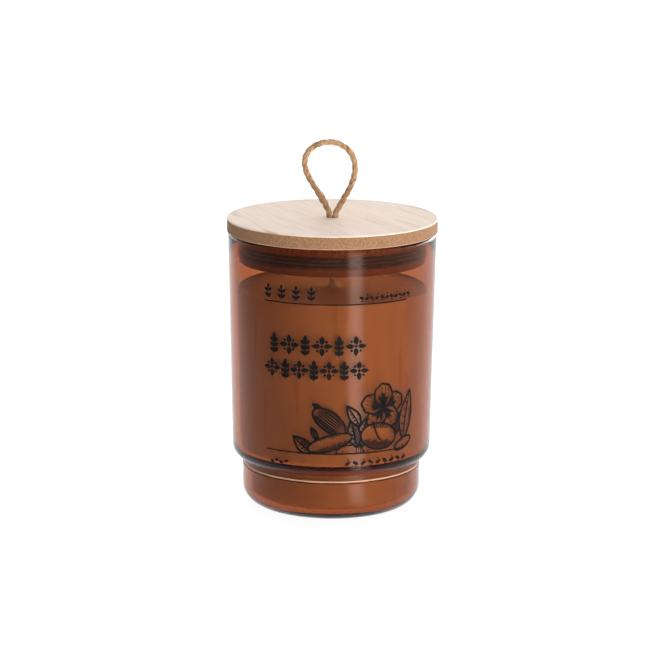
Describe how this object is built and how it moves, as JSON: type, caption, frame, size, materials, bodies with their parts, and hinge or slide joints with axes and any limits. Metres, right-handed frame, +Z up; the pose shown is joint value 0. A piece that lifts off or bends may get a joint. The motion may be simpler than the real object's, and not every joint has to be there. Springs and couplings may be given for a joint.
{
  "type": "lidded candle jar",
  "caption": "Amber glass candle jar with a stepped foot, wax and wick inside, and a veneered board lid with a plug, a silicone seal and a jute pull loop.",
  "frame": {"origin": "centre of the jar's base, on the surface that it stands on", "axes": "+Z up along the jar's own axis; -Y towards the printed face; +X to the right as that face is seen"},
  "size_m": [0.08, 0.08, 0.1408],
  "materials": {
    "amber_glass": "gloss",
    "print_ink": "satin",
    "wax": "satin",
    "cotton_wick": "matte",
    "tinplate": "satin",
    "foam_sticker": "matte",
    "silicone": "satin",
    "pale_veneer": "matte",
    "fibreboard": "matte",
    "jute": "matte"
  },
  "bodies": {
    "jar": {"glass_jar": "amber_glass", "printed_rules": "print_ink", "wax_fill": "wax", "wick": "cotton_wick", "wick_tab": "tinplate", "tab_sticker": "foam_sticker"},
    "seal": {"lid_seal": "silicone"},
    "lid": {"lid_veneer": "pale_veneer", "lid_core": "fibreboard", "lid_backing": "pale_veneer", "lid_plug": "fibreboard", "cord_knot": "jute"},
    "loop": {"cord_loop": "jute"}
  },
  "joints": [
    {"name": "lid_lift", "type": "slide", "parent": "jar", "child": "seal", "axis": [0, 0, 1], "range_m": [0, 0.06]},
    {"name": "lid_turn", "type": "hinge", "parent": "seal", "child": "lid", "pos_m": [0, 0, 0.1], "axis": [0, 0, 1], "continuous": true},
    {"name": "loop_tilt", "type": "hinge", "parent": "lid", "child": "loop", "pos_m": [0, 0, 0.11235], "axis": [1, 0, 0], "range_deg": [-75, 75]}
  ]
}
